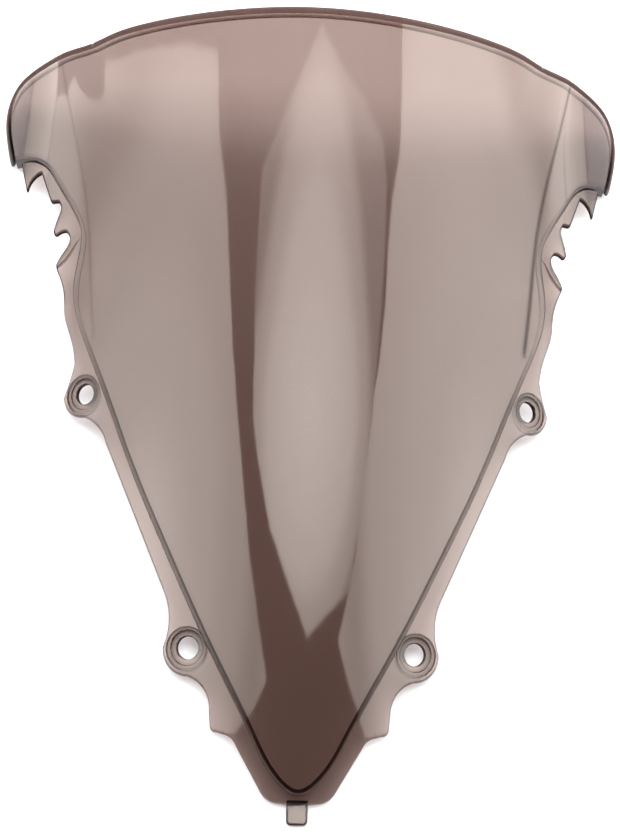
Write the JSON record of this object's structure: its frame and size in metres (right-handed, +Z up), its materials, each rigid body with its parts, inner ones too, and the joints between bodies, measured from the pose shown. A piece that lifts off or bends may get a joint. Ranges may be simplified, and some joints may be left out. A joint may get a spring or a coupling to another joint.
{
  "type": "motorcycle windshield screen",
  "caption": "Smoked double-bubble motorcycle windshield screen with a stepped mounting flange, fixing eyes, side hooks and a nose tongue.",
  "frame": {"origin": "on the surface that the screen lies on, at the middle of its overall length and width", "axes": "+Z up, with the outer face up; +Y from the nose to the trailing edge; +X to the right of someone looking from the nose"},
  "size_m": [0.3572, 0.3956, 0.097],
  "materials": {
    "smoked_acrylic": "transparent smoked acrylic, polished, brown grey"
  },
  "bodies": {
    "root": {"bubble_panel": "smoked_acrylic", "centre_edge_bead": "smoked_acrylic", "left_blade_hook": "smoked_acrylic", "left_ear_hook": "smoked_acrylic", "left_edge_bead": "smoked_acrylic", "left_flange": "smoked_acrylic", "left_joggle": "smoked_acrylic", "left_lower_eye": "smoked_acrylic", "left_side_hook": "smoked_acrylic", "left_upper_eye": "smoked_acrylic", "left_wing": "smoked_acrylic", "locating_tongue": "smoked_acrylic", "nose_flange": "smoked_acrylic", "right_blade_hook": "smoked_acrylic", "right_ear_hook": "smoked_acrylic", "right_edge_bead": "smoked_acrylic", "right_flange": "smoked_acrylic", "right_joggle": "smoked_acrylic", "right_lower_eye": "smoked_acrylic", "right_side_hook": "smoked_acrylic", "right_upper_eye": "smoked_acrylic", "right_wing": "smoked_acrylic"}
  },
  "joints": []
}
